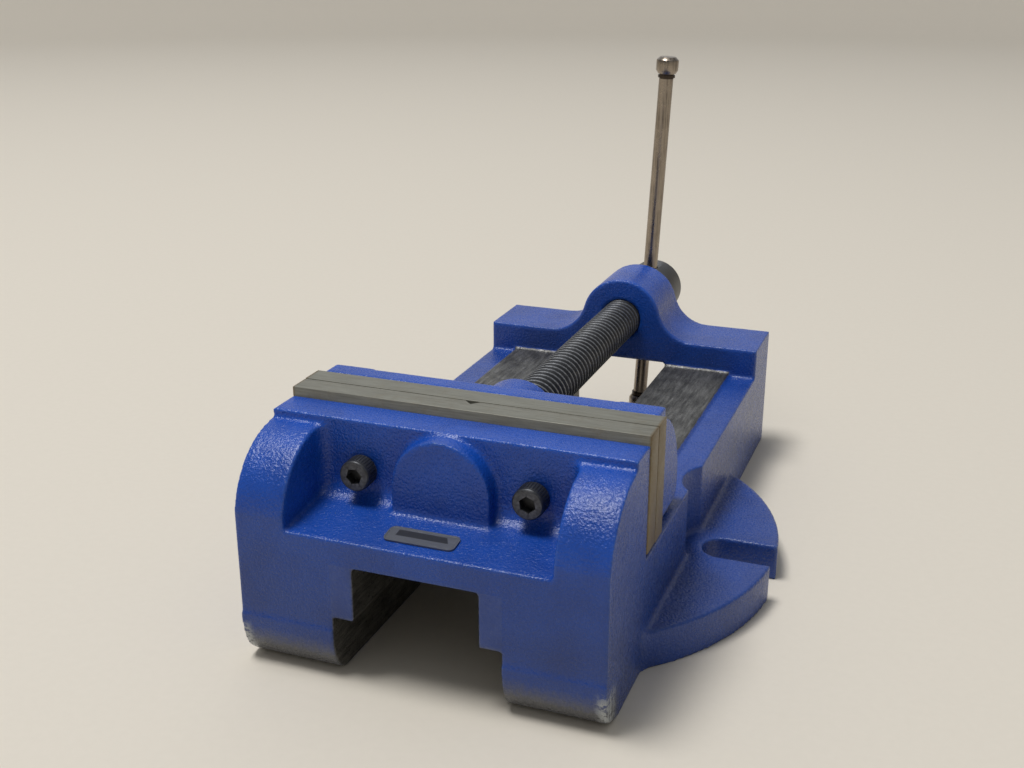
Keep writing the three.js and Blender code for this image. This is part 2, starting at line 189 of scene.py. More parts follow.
def smooth(piece, degrees=40):
    """Shades the piece smooth, with edges sharper than this kept sharp."""
    select_only(piece)
    bpy.ops.object.shade_smooth_by_angle(angle=math.radians(degrees))


def trace(name, points):
    """A line of edges through the points: one corner of a plane, extruded point by point."""
    bpy.ops.object.select_all(action="DESELECT")
    bpy.ops.mesh.primitive_plane_add(size=MM, location=(0, 0, 0))
    line = bpy.context.object
    line.name = name
    line.data.name = name
    bpy.ops.object.mode_set(mode="EDIT")
    bpy.ops.mesh.select_all(action="SELECT")
    bpy.ops.mesh.merge(type="CENTER")
    bpy.ops.mesh.select_mode(type="VERT")
    bpy.ops.mesh.select_all(action="SELECT")
    bpy.ops.transform.translate(value=points[0])
    last = Vector(points[0])
    for point in points[1:]:
        step = Vector(point) - last
        bpy.ops.mesh.extrude_vertices_move(TRANSFORM_OT_translate={"value": step})
        last = Vector(point)
    bpy.ops.object.mode_set(mode="OBJECT")
    return line


def turned(name, profile, centre, axis, steps=64):
    """A turned piece: the profile gives radius and place along the axis, and starts and ends on it."""
    along = Vector(axis).normalized()
    out = along.orthogonal().normalized()
    points = [tuple(Vector(centre) + out * radius + along * place) for radius, place in profile]
    piece = trace(name, points)
    select_only(piece)
    bpy.ops.object.mode_set(mode="EDIT")
    bpy.ops.mesh.select_all(action="SELECT")
    bpy.ops.mesh.spin(steps=steps, angle=2 * math.pi, center=centre, axis=tuple(along))
    bpy.ops.object.mode_set(mode="OBJECT")
    outward(piece)
    return piece


def rounded(radius_in, place_in, radius_out, place_out, count=5):
    """Points of a quarter round between two corners of a turned profile."""
    points = []
    for i in range(count + 1):
        turn = math.pi / 2 * i / count
        points.append((
            radius_in + (radius_out - radius_in) * math.sin(turn),
            place_out + (place_in - place_out) * math.cos(turn)))
    return points


def own_copy(piece, name):
    """A copy with its own mesh."""
    twin = piece.copy()
    twin.data = piece.data.copy()
    twin.name = name
    twin.data.name = name
    bpy.context.collection.objects.link(twin)
    return twin


def cad_copy(node, name):
    """A merged copy of a CAD node to work on, lying at the origin."""
    source = frame["nodes"][node]
    piece = bpy.data.objects.new(name, source.data.copy())
    piece.data.name = name
    piece.data.materials.clear()
    bpy.context.collection.objects.link(piece)
    select_only(piece)
    bpy.ops.object.mode_set(mode="EDIT")
    bpy.ops.mesh.select_all(action="SELECT")
    bpy.ops.mesh.remove_doubles(threshold=NEAR)
    bpy.ops.mesh.dissolve_limited(angle_limit=math.radians(0.3))
    bpy.ops.object.mode_set(mode="OBJECT")
    return piece


def joint_axis(name):
    """A joint's axis, as a unit vector."""
    for joint in frame["joints"]:
        if joint["name"] == name:
            return Vector(joint["axis"]).normalized()
    raise RuntimeError(f"no joint {name}")


def join(first, *others):
    """Joins the others into the first piece."""
    select_only(first, *others)
    bpy.ops.object.join()
    return first


def cut_with(piece, tool):
    """Cuts the tool's shape out of the piece and clears the tool away."""
    use_modifier(piece, "BOOLEAN", operation="DIFFERENCE", object=tool, solver="EXACT")
    bpy.data.objects.remove(tool)


def hand_over(piece, body, slot, material, *nodes):
    """Gives the finished piece its material, its body and the CAD nodes it stands for."""
    piece.data.materials.clear()
    piece.data.materials.append(material)
    if nodes:
        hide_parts(*nodes)
    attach(piece, body)


# ---- materials ----------------------------------------------------------------------------
def add(tree, kind, settings):
    """Adds a shader node. A setting that is another node's output is linked, any other is set."""
    made = tree.nodes.new("ShaderNode" + kind)
    for key, value in settings.items():
        if isinstance(value, bpy.types.NodeSocket):
            tree.links.new(value, made.inputs[key])
        elif isinstance(key, int) or key in made.inputs:
            made.inputs[key].default_value = value
        else:
            setattr(made, key, value)
    return made.outputs


def blank(name):
    """A new material: itself, its node tree, its shader's inputs and the object coordinates."""
    material = bpy.data.materials.new(name)
    material.use_nodes = True
    tree = material.node_tree
    return material, tree, tree.nodes["Principled BSDF"].inputs, add(tree, "TexCoord", {})["Object"]


def grain(tree, place, millimetres, detail=2.0, roughness=0.5, along=(1, 1, 1)):
    """A pattern whose grains are about this many millimetres across, drawn out where along is small."""
    laid = add(tree, "Mapping", {"Vector": place, "Scale": tuple(v / (millimetres * MM) for v in along)})[0]
    return add(tree, "TexNoise", {"Vector": laid, "Scale": 1.0, "Detail": detail, "Roughness": roughness})[0]


def inside(tree, limits):
    """How far a point is inside every limit: a value, where it starts to count and where it is full."""
    result = 1.0
    for value, off, full in limits:
        share = add(tree, "MapRange", {"Value": value, "From Min": off, "From Max": full})[0]
        result = add(tree, "Math", {"operation": "MULTIPLY", 0: share, 1: result})[0]
    return result


def enamel_material(name, bare_zone, low_and_chipped_zones=None):
    """Alkyd enamel sprayed on sand-cast iron: a deep gloss blue with an orange-peel skin over the
    sand's grain, darker where it is thin, paler along the edges, partly where it is thin and partly as
    a painted highlight, small pale chips on the edges, and bare machined faces."""
    c = colours()
    material, tree, inputs, place = blank(name)
    cloud = grain(tree, place, 24, 3)
    speck = grain(tree, place, 2.2, 4, 0.7)
    edge = add(tree, "NewGeometry", {})["Pointiness"]
    thin = inside(tree, [(cloud, 0.42, 0.72)])
    paint = add(tree, "Mix", {"data_type": "RGBA", 0: thin, 6: tuple(c.enamel), 7: tuple(c.enamel_thin)})[2]
    # paler along the convex edges: partly thin enamel, partly a painted highlight on them
    pale_edge_and_highlight = inside(tree, [(edge, 0.515, 0.60), (speck, 0.35, 0.60)])
    paint = add(tree, "Mix", {"data_type": "RGBA", 0: pale_edge_and_highlight, 6: paint, 7: tuple(c.enamel_edge_and_highlight)})[2]
    chip = inside(tree, [(edge, 0.54, 0.57), (speck, 0.60, 0.64)])
    paint = add(tree, "Mix", {"data_type": "RGBA", 0: chip, 6: paint, 7: tuple(c.primer)})[2]

    if low_and_chipped_zones:
        for share, tone in zip(low_and_chipped_zones(tree, place), (c.low_darkening, c.grey_foot, c.primer)):
            paint = add(tree, "Mix", {"data_type": "RGBA", 0: share, 6: paint, 7: tuple(tone)})[2]

    # machined cast iron: milling marks along the travel, dark pores and oil stains. The marks are
    # drawn at 1.6 mm and the pores at 1.1 mm, several times their real size, so that they show
    bare = bare_zone(tree, place)
    marks = grain(tree, place, 1.6, 4, 0.7, (1.0, 0.12, 1.0))
    stain = grain(tree, place, 12, 4, 0.6)
    pore = grain(tree, place, 1.1, 2, 0.6)
    milled = inside(tree, [(marks, 0.30, 0.75)])
    iron = add(tree, "Mix", {"data_type": "RGBA", 0: milled, 6: tuple(c.iron_dark), 7: tuple(c.iron)})[2]
    for share, tone in ((inside(tree, [(stain, 0.45, 0.80)]), c.iron_dark),
                        (inside(tree, [(pore, 0.62, 0.70)]), c.black)):
        iron = add(tree, "Mix", {"data_type": "RGBA", 0: share, 6: iron, 7: tuple(tone)})[2]
    surface = add(tree, "Mix", {"data_type": "RGBA", 0: bare, 6: paint, 7: iron})[2]
    tree.links.new(surface, inputs["Base Color"])

    gloss = add(tree, "MapRange", {"Value": speck, "To Min": 0.19, "To Max": 0.35})[0]
    tree.links.new(add(tree, "Mix", {0: bare, 2: gloss, 3: 0.52})[0], inputs["Roughness"])
    tree.links.new(bare, inputs["Metallic"])
    # an orange peel of about 1.1 mm, drawn coarser than the sand's grains under it so that it shows,
    # on a slower wave of about 6 mm
    skin = grain(tree, place, 1.1, 2, 0.6)
    peel = add(tree, "Bump", {"Height": skin, "Strength": 1.0, "Distance": 0.42 * MM})[0]
    wave = add(tree, "Bump", {"Height": grain(tree, place, 6.0), "Strength": 0.5, "Distance": 0.30 * MM,
                              "Normal": peel})[0]
    tree.links.new(wave, inputs["Normal"])
    return material


def base_bare_zone(tree, place):
    """The two raised ways behind the fixed jaw, and the channel between the rails."""
    low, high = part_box("base_casting")
    axis = add(tree, "SeparateXYZ", {"Vector": place})
    across = add(tree, "Math", {"operation": "ABSOLUTE", 0: axis["X"]})[0]
    ragged = grain(tree, place, 3.0, 3)
    height = add(tree, "Math", {"operation": "MULTIPLY_ADD", 0: ragged, 1: 0.9 * MM, 2: axis["Z"]})[0]
    front, back, fade = low.y + 49.0 * MM, low.y + 271.1 * MM, 0.4 * MM
    ways = inside(tree, [(height, 50.4 * MM, 50.7 * MM), (height, 52.2 * MM, 51.8 * MM),
                         (across, 62.0 * MM, 61.5 * MM), (axis["Y"], front, front + fade),
                         (axis["Y"], back, back - fade)])
    channel = inside(tree, [(across, 35.4 * MM, 35.1 * MM), (axis["Z"], 50.3 * MM, 50.0 * MM),
                            (axis["Y"], low.y + 0.6 * MM, low.y + 1.4 * MM),
                            (axis["Y"], high.y - 0.6 * MM, high.y - 1.4 * MM)])
    return add(tree, "Math", {"operation": "MAXIMUM", 0: ways, 1: channel})[0]


def base_low_and_chipped_zones(tree, place):
    """Enamel that darkens towards the table, the feet's fronts that go grey low down, and the
    chipped outer corners.
    """
    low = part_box("base_casting")[0]
    axis = add(tree, "SeparateXYZ", {"Vector": place})
    across = add(tree, "Math", {"operation": "ABSOLUTE", 0: axis["X"]})[0]
    ragged = grain(tree, place, 2.0, 4, 0.7)
    height = add(tree, "Math", {"operation": "MULTIPLY_ADD", 0: ragged, 1: 9 * MM, 2: axis["Z"]})[0]
    # the feet's fronts turn grey below about 20 mm
    bottom = inside(tree, [(height, 21.5 * MM, 12.5 * MM), (axis["Y"], low.y + 18 * MM, low.y + 10 * MM)])
    corner = inside(tree, [(across, 70.5 * MM, 74.0 * MM), (height, 24 * MM, 19 * MM), (ragged, 0.46, 0.50),
                           (axis["Y"], low.y + 14 * MM, low.y + 7 * MM)])
    # darker towards the table, from 90 mm down to 30 mm above it
    low_down = inside(tree, [(axis["Z"], 90 * MM, 30 * MM)])
    low_darkening_share = add(tree, "Math", {"operation": "MULTIPLY", 0: low_down, 1: 0.42})[0]
    return low_darkening_share, bottom, corner


def jaw_bare_zone(tree, place):
    """The moving jaw's machined sole and tongue."""
    return inside(tree, [(add(tree, "SeparateXYZ", {"Vector": place})["Z"], 51.5 * MM, 51.2 * MM)])


def ground_steel_material():
    """Carbon steel plates, surface ground: a dull grey with fine marks along the jaw, and a brown
    oxide from handling that is heaviest on the sawn ends."""
    c = colours()
    material, tree, inputs, place = blank(PLATE_STEEL)
    # grinding marks are near 0.1 mm apart and are drawn at 0.8 mm, so that they show
    marks = grain(tree, place, 0.8, 3, 0.7, (0.05, 1, 1))
    cloud = grain(tree, place, 8, 4, 0.65)
    fine = grain(tree, place, 1.3, 3, 0.6)
    ground = inside(tree, [(marks, 0.30, 0.80)])
    steel = add(tree, "Mix", {"data_type": "RGBA", 0: ground, 6: tuple(c.steel), 7: tuple(c.steel_mark)})[2]
    across = add(tree, "Math", {"operation": "ABSOLUTE",
                                0: add(tree, "SeparateXYZ", {"Vector": place})["X"]})[0]
    ends = inside(tree, [(across, 74.8 * MM, 75.8 * MM), (fine, 0.05, 0.55)])
    patch = inside(tree, [(cloud, 0.50, 0.85), (fine, 0.35, 0.80)])
    rust = add(tree, "Math", {"operation": "MAXIMUM", 0: patch, 1: ends})[0]
    plate = add(tree, "Mix", {"data_type": "RGBA", 0: rust, 6: steel, 7: tuple(c.steel_rust)})[2]
    tree.links.new(plate, inputs["Base Color"])
    inputs["Metallic"].default_value = 0.55
    dulled = add(tree, "MapRange", {"Value": cloud, "To Min": 0.36, "To Max": 0.60})[0]
    tree.links.new(dulled, inputs["Roughness"])
    scored = add(tree, "Bump", {"Height": marks, "Strength": 0.35, "Distance": 0.05 * MM})[0]
    pitted = add(tree, "Bump", {"Height": fine, "Strength": 0.35, "Distance": 0.08 * MM, "Normal": scored})[0]
    tree.links.new(pitted, inputs["Normal"])
    return material


def black_oxide_material(name, crest_wear_and_highlight):
    """Alloy steel, hot black oxide and oil: near black with a soft sheen, grey on its crests and
    corners, partly where they are rubbed and partly as a painted highlight, and dusty in patches."""
    c = colours()
    material, tree, inputs, place = blank(name)
    # the oxide's own tooth is far finer, and is drawn at 1 mm so that it shows
    fine = grain(tree, place, 1.0, 3, 0.6)
    cloud = grain(tree, place, 7, 3)
    edge = add(tree, "NewGeometry", {})["Pointiness"]
    dust = inside(tree, [(cloud, 0.40, 0.80), (fine, 0.30, 0.90)])
    oxide = add(tree, "Mix", {"data_type": "RGBA", 0: dust, 6: tuple(c.black), 7: tuple(c.black_dust)})[2]
    # pale crests and corners: partly rubbed steel, partly a painted highlight
    rubbed_and_highlit = inside(tree, [(edge, 0.52, 0.52 + 0.10 / crest_wear_and_highlight), (fine, 0.25, 0.70)])
    oxide_with_pale_crests = add(tree, "Mix", {"data_type": "RGBA", 0: rubbed_and_highlit, 6: oxide, 7: tuple(c.black_worn_and_highlight)})[2]
    tree.links.new(oxide_with_pale_crests, inputs["Base Color"])
    inputs["Metallic"].default_value = 0.6
    sheen = add(tree, "MapRange", {"Value": cloud, "To Min": 0.30, "To Max": 0.50})[0]
    tree.links.new(sheen, inputs["Roughness"])
    rough = add(tree, "Bump", {"Height": fine, "Strength": 0.3, "Distance": 0.06 * MM})[0]
    tree.links.new(rough, inputs["Normal"])
    return material


def zinc_material(name, plain):
    """Drawn mild steel, bright zinc plate gone brownish: shiny, with long dark streaks down the bar."""
    c = colours()
    material, tree, inputs, place = blank(name)
    # drawing leaves finer lines than these streaks, which are 1.1 mm wide so that they show
    streak = grain(tree, place, 1.1, 3, 0.6, (1, 1, 0.035))
    blotch = grain(tree, place, 6, 4, 0.6)
    dark = inside(tree, [(streak, 0.45, 0.72), (blotch, 0.25, 0.70)])
    plating = add(tree, "Mix", {"data_type": "RGBA", 0: dark, 6: plain, 7: tuple(c.zinc_streak_and_neck_shade)})[2]
    tree.links.new(plating, inputs["Base Color"])
    inputs["Metallic"].default_value = 1.0
    shine = add(tree, "MapRange", {"Value": blotch, "To Min": 0.16, "To Max": 0.42})[0]
    tree.links.new(shine, inputs["Roughness"])
    rough = add(tree, "Bump", {"Height": grain(tree, place, 0.9), "Strength": 0.25, "Distance": 0.05 * MM})[0]
    tree.links.new(rough, inputs["Normal"])
    return material


def label_material(name, plain, dull, metallic):
    """Aluminium sheet with a satin face and screened ink: flat, with a faint brushed grain."""
    material, tree, inputs, place = blank(name)
    # brushing is near 0.1 mm and is drawn at 0.5 mm, so that it shows
    brushed = grain(tree, place, 0.5, 2, 0.5, (0.08, 1, 1))
    satin = add(tree, "Mix", {"data_type": "RGBA", 0: brushed, 6: plain, 7: dull})[2]
    tree.links.new(satin, inputs["Base Color"])
    inputs["Metallic"].default_value = metallic
    inputs["Roughness"].default_value = 0.42
    rough = add(tree, "Bump", {"Height": brushed, "Strength": 0.2, "Distance": 0.03 * MM})[0]
    tree.links.new(rough, inputs["Normal"])
    return material


def floor_material():
    """A matt pale paper sweep, with a faint fibre."""
    c = colours()
    material, tree, inputs, place = blank("Pale paper sweep")
    # paper's fibres are finer, and are drawn at 4 mm so that they show
    fibre = grain(tree, place, 4)
    paper = add(tree, "Mix", {"data_type": "RGBA", 0: fibre, 6: tuple(c.floor), 7: tuple(c.floor_fibre)})[2]
    tree.links.new(paper, inputs["Base Color"])
    inputs["Roughness"].default_value = 0.8
    return material


# ---- castings -----------------------------------------------------------------------------
def cast(piece, crisp, soft):
    """Casts the piece: a fine skin over the whole shape, its corners run down by smoothing,
    little where crisp says so and much where soft says so, and the mould's slow waviness."""
    s = sizes()
    use_modifier(piece, "REMESH", mode="VOXEL", voxel_size=s.casting_voxel, adaptivity=0.0,
                 use_smooth_shade=True)
    machined_share = 0.35               # how much of the light smoothing reaches a machined face
    corners = piece.vertex_groups.new(name="cast skin")
    fillets = piece.vertex_groups.new(name="deep fillet")
    for vertex in piece.data.vertices:
        corners.add([vertex.index], machined_share if crisp(vertex.co) else 1.0, "REPLACE")
        amount = soft(vertex.co)
        if amount > 0:
            fillets.add([vertex.index], amount, "REPLACE")
    use_modifier(piece, "SMOOTH", factor=0.5, iterations=3, vertex_group=corners.name)
    use_modifier(piece, "SMOOTH", factor=0.5, iterations=12, vertex_group=fillets.name)
    swell = bpy.data.textures.get("sand mould") or bpy.data.textures.new("sand mould", "CLOUDS")
    swell.noise_scale = 7 * MM
    swell.noise_depth = 2
    skin = piece.vertex_groups.new(name="wavy skin")
    for vertex in piece.data.vertices:
        skin.add([vertex.index], 0.0 if crisp(vertex.co) else 1.0, "REPLACE")
    use_modifier(piece, "DISPLACE", texture=swell, texture_coords="GLOBAL", strength=s.casting_swell,
                 mid_level=1.0, vertex_group=skin.name)
    count = sum(len(face.vertices) - 2 for face in piece.data.polygons)
    use_modifier(piece, "DECIMATE", decimate_type="COLLAPSE", ratio=min(1.0, CASTING_TRIANGLES / count))
    for group in list(piece.vertex_groups):
        piece.vertex_groups.remove(group)
    select_only(piece)
    bpy.ops.object.shade_smooth()


def knock(piece, centre, size, facing):
    """Takes a corner off a casting with a block that has rounded edges."""
    bpy.ops.object.select_all(action="DESELECT")
    turn = (0, 0, 0) if facing[1] == -1 else Vector(facing).to_track_quat("Z", "Y").to_euler()
    bpy.ops.mesh.primitive_cube_add(size=1, location=centre, rotation=turn, scale=size)
    block = bpy.context.object
    bake_place(block)
    use_modifier(block, "BEVEL", width=0.8 * MM, segments=2)
    cut_with(piece, block)


class VISE_OT_base_casting(bpy.types.Operator):
    """Cast the base: fixed jaw, ways, bridge and lugs"""
    bl_idname = "vise.base_casting"
    bl_label = "Base casting"

    def execute(self, context):
        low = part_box("base_casting")[0]
        piece = cad_copy("base_casting", "cast_base")

        # flash left by the mould's joint over the arch of the bridge
        arch_y, arch_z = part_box("lead_screw")[1].y - 55.5 * MM, 74.5 * MM
        bpy.ops.object.select_all(action="DESELECT")
        bpy.ops.mesh.primitive_torus_add(
            major_radius=21.95 * MM, minor_radius=1.1 * MM, major_segments=96, minor_segments=10,
            location=(0, arch_y, arch_z), rotation=(math.pi / 2, 0, 0))
        flash = bpy.context.object
        bake_place(flash)
        piece = join(piece, flash)

        # the front face lies a little behind the feet's rounded toes, and the outer corners are knocked off
        set_back, thick = 0.7 * MM, 10 * MM
        knock(piece, (0, low.y + set_back - thick / 2, 50 * MM), (160 * MM, thick, 57 * MM), (0, -1, 0))
        half = 15                           # half a corner block's thickness, in millimetres
        for side in (-1, 1):
            slope = Vector((side * 0.62, -0.26, -0.74)).normalized()
            corner = Vector((side * 72.6 * MM, low.y + 6 * MM, 1.0 * MM))
            knock(piece, corner + slope * half * MM, (2 * half * MM, 40 * MM, 2 * half * MM), slope)

        def crisp(co):
            x, y = abs(co.x), co.y - low.y
            on_ways = 48.4 * MM < co.z < 51.5 * MM and 49 * MM < y < 271 * MM and x < 63 * MM
            in_channel = x < 36 * MM and co.z < 53 * MM
            behind_plate = abs(y - 49.5 * MM) < 0.8 * MM and co.z > 50 * MM
            return on_ways or in_channel or behind_plate

        def soft(co):
            x, y = abs(co.x), co.y - low.y
            in_pocket = 22 * MM < y < 34.5 * MM and 62 * MM < co.z < 95 * MM and x < 56 * MM
            lug_root = 72 * MM < x < 80 * MM and 13 * MM < co.z < 21 * MM and 40 * MM < y < 222 * MM
            return 0.8 if in_pocket else 1.0 if lug_root else 0.0

        cast(piece, crisp, soft)
        material = enamel_material("Blue alkyd enamel on cast iron, machined ways",
                                   base_bare_zone, base_low_and_chipped_zones)
        hand_over(piece, "base", "blue_enamel", material, "base_casting")
        return {"FINISHED"}


class VISE_OT_moving_jaw(bpy.types.Operator):
    """Cast the moving jaw with its screw hub and tongue"""
    bl_idname = "vise.moving_jaw"
    bl_label = "Moving jaw"

    def execute(self, context):
        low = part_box("moving_jaw")[0]
        piece = cad_copy("moving_jaw", "cast_moving_jaw")

        def crisp(co):
            return co.z < 51.6 * MM or co.y < low.y + 0.8 * MM

        def soft(co):
            behind = low.y + 15 * MM < co.y < low.y + 25 * MM
            return 0.7 if behind and 60 * MM < co.z < 94 * MM and abs(co.x) < 56 * MM else 0.0

        cast(piece, crisp, soft)
        material = enamel_material("Blue alkyd enamel on cast iron, machined sole", jaw_bare_zone)
        hand_over(piece, "jaw", "blue_enamel", material, "moving_jaw")
        return {"FINISHED"}


# ---- jaw plates ---------------------------------------------------------------------------
class VISE_OT_jaw_plates(bpy.types.Operator):
    """Break the edges of both ground jaw plates"""
    bl_idname = "vise.jaw_plates"
    bl_label = "Jaw plates"

    def execute(self, context):
        material = ground_steel_material()
        for node, name, body in (("fixed_jaw_plate", "ground_fixed_plate", "base"),
                                 ("moving_jaw_plate", "ground_moving_plate", "jaw")):
            piece = cad_copy(node, name)
            use_modifier(piece, "BEVEL", width=sizes().plate_break, segments=3, limit_method="ANGLE",
                         angle_limit=math.radians(35), use_clamp_overlap=True, harden_normals=False)
            smooth(piece, 30)
            hand_over(piece, body, "ground_steel", material, node)
        return {"FINISHED"}


# ---- socket cap screws --------------------------------------------------------------------
def cap_screw(name):
    """A knurled socket cap screw at the origin, its head's face towards -Y and its seat at Y 0."""
    s = sizes()
    radius, height, shank, shank_end = 6.45 * MM, CAP_HEAD_HEIGHT, 3.95 * MM, 23.6 * MM
    socket, socket_deep = 6.0 * MM, 4.0 * MM
    profile = [(0, -height), (radius - 0.75 * MM, -height), (radius - 0.6 * MM, -height + 0.1 * MM)]
    profile += [(radius - 0.18 * MM, -height + 0.5 * MM), (radius - 0.1 * MM, -height + 0.7 * MM)]
    profile += [(radius - 0.1 * MM, -height + 1.4 * MM), (radius, -height + 1.6 * MM), (radius, -0.7 * MM),
                (radius - 0.5 * MM, 0), (shank, 0)]
    profile += [(shank, shank_end - 0.8 * MM), (shank - 0.8 * MM, shank_end), (0, shank_end)]
    piece = turned(name, profile, (0, 0, 0), (0, 1, 0), steps=2 * s.knurl_teeth)

    # every other face of the head's side is sunk to make the knurl
    turn_step = math.pi / s.knurl_teeth
    outer = 6.0 * MM

    def groove(centre, normal):
        on_side = -height + 1.7 * MM < centre.y < -0.8 * MM and math.hypot(centre.x, centre.z) > outer
        tooth = math.floor(math.atan2(centre.z, centre.x) / turn_step + 1e-4)
        return on_side and tooth % 2 == 0

    select_only(piece)
    faces(piece, groove)
    bpy.ops.mesh.inset(thickness=0.10 * MM, depth=-s.knurl_depth, use_individual=True)
    bpy.ops.object.mode_set(mode="OBJECT")

    bpy.ops.object.select_all(action="DESELECT")
    bpy.ops.mesh.primitive_cylinder_add(
        vertices=6, radius=socket / math.sqrt(3), depth=2 * socket_deep, location=(0, -height, 0),
        rotation=(math.pi / 2, 0, 0))
    key_hole = bpy.context.object
    bake_place(key_hole)
    cut_with(piece, key_hole)
    smooth(piece, 32)
    return piece


class VISE_OT_plate_screws(bpy.types.Operator):
    """Make the four knurled cap screws that hold the jaw plates"""
    bl_idname = "vise.plate_screws"
    bl_label = "Plate screws"

    def execute(self, context):
        material = black_oxide_material("Black oxide alloy steel, cap screws", 0.8)
        pattern = cap_screw("cap_screw_pattern")
        for node, body, facing in (("fixed_plate_screw_left", "base", 1),
                                   ("fixed_plate_screw_right", "base", 1),
                                   ("moving_plate_screw_left", "jaw", -1),
                                   ("moving_plate_screw_right", "jaw", -1)):
            low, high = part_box(node)
            middle = (low + high) / 2
            piece = own_copy(pattern, "knurled_" + node)
            seat = low.y + CAP_HEAD_HEIGHT if facing > 0 else high.y - CAP_HEAD_HEIGHT
            turn = 0.35 if node.endswith("left") else 0.9       # each is tightened to its own angle
            piece.matrix_world = (Matrix.Translation((middle.x, seat, middle.z))
                                  @ Matrix.Rotation(0 if facing > 0 else math.pi, 4, "Z")
                                  @ Matrix.Rotation(turn, 4, "Y"))
            bake_place(piece)
            hand_over(piece, body, "black_oxide_steel", material, node)
        bpy.data.objects.remove(pattern)
        return {"FINISHED"}


# ---- lead screw ---------------------------------------------------------------------------
class VISE_OT_lead_screw(bpy.types.Operator):
    """Cut the lead screw's thread and turn its head and nose"""
    bl_idname = "vise.lead_screw"
    bl_label = "Lead screw"

    def execute(self, context):
        s = sizes()
        low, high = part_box("lead_screw")
        centre = Vector((0, low.y, (low.z + high.z) / 2))
        start, stop = 39.3 * MM, 233.0 * MM       # thread, measured from the nose
        neck, head0, head1 = 9.3 * MM, 238.0 * MM, high.y - low.y
        head = (high.z - low.z) / 2
        root = s.screw_radius - s.thread_depth
        edge = s.head_edge
        nose, groove, groove_end = 7.95 * MM, 6.95 * MM, 3.8 * MM

        core = [(0, 0), (7 * MM, 0), (nose, 1 * MM), (nose, 2 * MM), (groove, 2 * MM),
                (groove, groove_end), (nose, groove_end), (nose, start), (root, start),
                (root + 0.2 * MM, stop), (neck, stop + 1.2 * MM), (neck, head0)]
        core += rounded(head - edge, head0, head - 0.02 * MM, head0 + edge)
        core += reversed(rounded(head - edge, head1, head - 0.02 * MM, head1 - edge))
        core += [(0, head1)]
        piece = turned("cut_lead_screw", core, tuple(centre), (0, 1, 0), steps=72)

        # cross hole for the T-bar, along the bar's own lean
        bar_low, bar_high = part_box("handle_bar")
        middle_y = (bar_low.y + bar_high.y) / 2
        lean = joint_axis("handle_slide")
        bpy.ops.object.select_all(action="DESELECT")
        bpy.ops.mesh.primitive_cylinder_add(vertices=40, radius=4.5 * MM, depth=60 * MM)
        drill = bpy.context.object
        turn = Vector((0, 0, 1)).rotation_difference(lean).to_matrix().to_4x4()
        drill.matrix_world = Matrix.Translation((0, middle_y, centre.z)) @ turn
        bake_place(drill)
        cut_with(piece, drill)

        # one turn's profile of the thread, carried round and along
        crest, flank, corner = 1.15 * MM, 0.95 * MM, 0.25 * MM
        radius = s.screw_radius
        pitch = s.thread_pitch
        y0 = centre.y + start
        line = [(0, y0, centre.z + root), (0, y0 + flank, centre.z + radius - corner),
                (0, y0 + flank + corner, centre.z + radius),
                (0, y0 + flank + crest, centre.z + radius),
                (0, y0 + flank + crest + corner, centre.z + radius - corner),
                (0, y0 + 2 * flank + crest + corner, centre.z + root), (0, y0 + pitch, centre.z + root)]
        thread = trace("thread", line)
        turns = int((stop - start) / pitch)
        bpy.ops.object.select_all(action="DESELECT")
        bpy.ops.object.empty_add(location=tuple(centre))
        hub = bpy.context.object
        use_modifier(thread, "SCREW", axis="Y", angle=2 * math.pi, screw_offset=pitch, iterations=turns,
                     steps=40, render_steps=40, object=hub, use_merge_vertices=True,
                     merge_threshold=0.001 * MM)
        bpy.data.objects.remove(hub)
        outward(thread)

        # close the tooth's end walls, then the two openings left inside the core; the new faces
        # take their direction from their neighbours
        for begin in (y0, y0 + turns * pitch):
            select_only(thread)
            bpy.ops.object.mode_set(mode="EDIT")
            bpy.ops.mesh.select_all(action="DESELECT")
            bpy.ops.object.mode_set(mode="OBJECT")
            for vertex in thread.data.vertices:
                x, y, z = vertex.co
                at_wall = abs(x) < NEAR and z > centre.z
                vertex.select = at_wall and begin - NEAR < y < begin + pitch + NEAR
            bpy.ops.object.mode_set(mode="EDIT")
            bpy.ops.mesh.edge_face_add()
            bpy.ops.object.mode_set(mode="OBJECT")
        bpy.ops.object.mode_set(mode="EDIT")
        bpy.ops.mesh.select_all(action="SELECT")
        bpy.ops.mesh.fill_holes(sides=0)
        bpy.ops.object.mode_set(mode="OBJECT")
        piece = join(piece, thread)
        smooth(piece, 38)
        # the thread's crests take a wide pale band: rubbed steel and a painted highlight
        material = black_oxide_material("Black oxide steel, cut thread", 2.2)
        hand_over(piece, "screw", "black_oxide_steel", material, "lead_screw")
        return {"FINISHED"}


